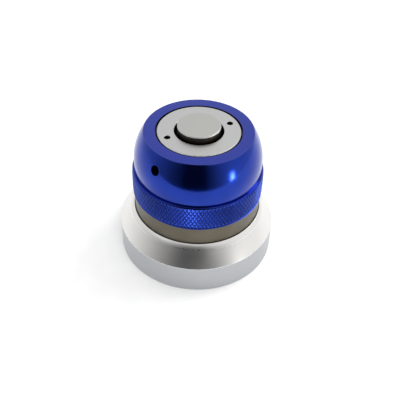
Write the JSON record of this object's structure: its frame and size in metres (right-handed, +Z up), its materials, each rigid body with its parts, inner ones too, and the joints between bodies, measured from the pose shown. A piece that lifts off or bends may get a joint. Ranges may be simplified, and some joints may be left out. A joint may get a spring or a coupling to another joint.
{
  "type": "coffee tamper",
  "caption": "Self-levelling impact coffee tamper: domed handle with knurled grip and push button, sliding in a conical levelling ring, with a sprung foot and a ball-latched hammer inside",
  "frame": {"origin": "centre of the levelling ring's bottom face, on the plane that the object stands on", "axes": "+Z up along the common axis of all turned pieces, -Y towards the front, with the lock screw on the front left"},
  "size_m": [0.07, 0.07, 0.0632],
  "materials": {
    "satin_steel": "turned and fine-satin stainless steel, cone polished",
    "ground_steel": "face-turned stainless steel with a fine lay",
    "blue_anodised": "satin blue anodised aluminium",
    "bronze_anodised": "satin bronze-grey anodised aluminium",
    "hardened_steel": "ground hardened steel",
    "spring_steel": "drawn stainless spring wire",
    "acetal": "natural acetal",
    "bumper": "black urethane",
    "bronze": "sintered bronze",
    "black_steel": "black oxide"
  },
  "bodies": {
    "ring": {"levelling_ring": "satin_steel", "spring_retainer": "ground_steel", "levelling_spring": "spring_steel"},
    "slider": {"wear_ring": "acetal"},
    "handle": {"inner_body": "bronze_anodised", "guide_bush": "bronze", "bumper_washer": "bumper", "body_snap_ring": "spring_steel", "cap": "blue_anodised", "knurled_band": "blue_anodised", "lock_screw": "black_steel"},
    "foot": {"foot": "satin_steel", "foot_jam_nut": "ground_steel", "shaft": "hardened_steel", "reset_spring": "spring_steel"},
    "hammer": {"hammer": "hardened_steel"},
    "carrier": {"thrust_washer": "hardened_steel", "main_spring": "spring_steel"},
    "adjuster": {"adjuster_plate": "ground_steel", "spindle_bush": "bronze"},
    "button": {"button": "ground_steel", "trip_spindle": "hardened_steel", "spindle_clip": "black_steel", "button_spring": "spring_steel"},
    "ball_1": {"trip_ball_1": "hardened_steel"},
    "ball_2": {"trip_ball_2": "hardened_steel"},
    "ball_3": {"trip_ball_3": "hardened_steel"}
  },
  "joints": [
    {"name": "handle_spin", "type": "hinge", "parent": "ring", "child": "slider", "pos_m": [0, 0, 0.0187], "axis": [0, 0, 1], "continuous": true},
    {"name": "press_down", "type": "slide", "parent": "slider", "child": "handle", "axis": [0, 0, -1], "range_m": [0, 0.0081], "stiffness_N_per_m": 1500, "springref_m": -0.01, "deforming": ["levelling_spring"]},
    {"name": "foot_retract", "type": "slide", "parent": "handle", "child": "foot", "axis": [0, 0, 1], "range_m": [0, 0.005], "stiffness_N_per_m": 6000, "springref_m": -0.01, "deforming": ["main_spring"]},
    {"name": "adjuster_turn", "type": "hinge", "parent": "carrier", "child": "adjuster", "pos_m": [0, 0, 0.0562], "axis": [0, 0, -1], "range_deg": [0, 720]},
    {"name": "adjuster_sink", "type": "slide", "parent": "handle", "child": "carrier", "axis": [0, 0, -1], "range_m": [0, 0.003]},
    {"name": "button_press", "type": "slide", "parent": "carrier", "child": "button", "axis": [0, 0, -1], "range_m": [0, 0.0023], "stiffness_N_per_m": 900, "springref_m": -0.006, "deforming": ["button_spring"]},
    {"name": "hammer_fall", "type": "slide", "parent": "foot", "child": "hammer", "axis": [0, 0, -1], "range_m": [0, 0.003], "deforming": ["reset_spring"]},
    {"name": "trip_ball_1_in", "type": "slide", "parent": "foot", "child": "ball_1", "axis": [-1, 0, 0], "range_m": [0, 0.0012]},
    {"name": "trip_ball_2_in", "type": "slide", "parent": "foot", "child": "ball_2", "axis": [0.5, -0.866, 0], "range_m": [0, 0.0012]},
    {"name": "trip_ball_3_in", "type": "slide", "parent": "foot", "child": "ball_3", "axis": [0.5, 0.866, 0], "range_m": [0, 0.0012]}
  ],
  "couplings": [
    {"joint": "adjuster_sink", "follows": "adjuster_turn", "m_per_rad": 0.00023873},
    {"joint": "hammer_fall", "follows": "button_press", "ratio": 1.3043},
    {"joint": "trip_ball_1_in", "follows": "button_press", "ratio": 0.5217},
    {"joint": "trip_ball_2_in", "follows": "button_press", "ratio": 0.5217},
    {"joint": "trip_ball_3_in", "follows": "button_press", "ratio": 0.5217}
  ]
}
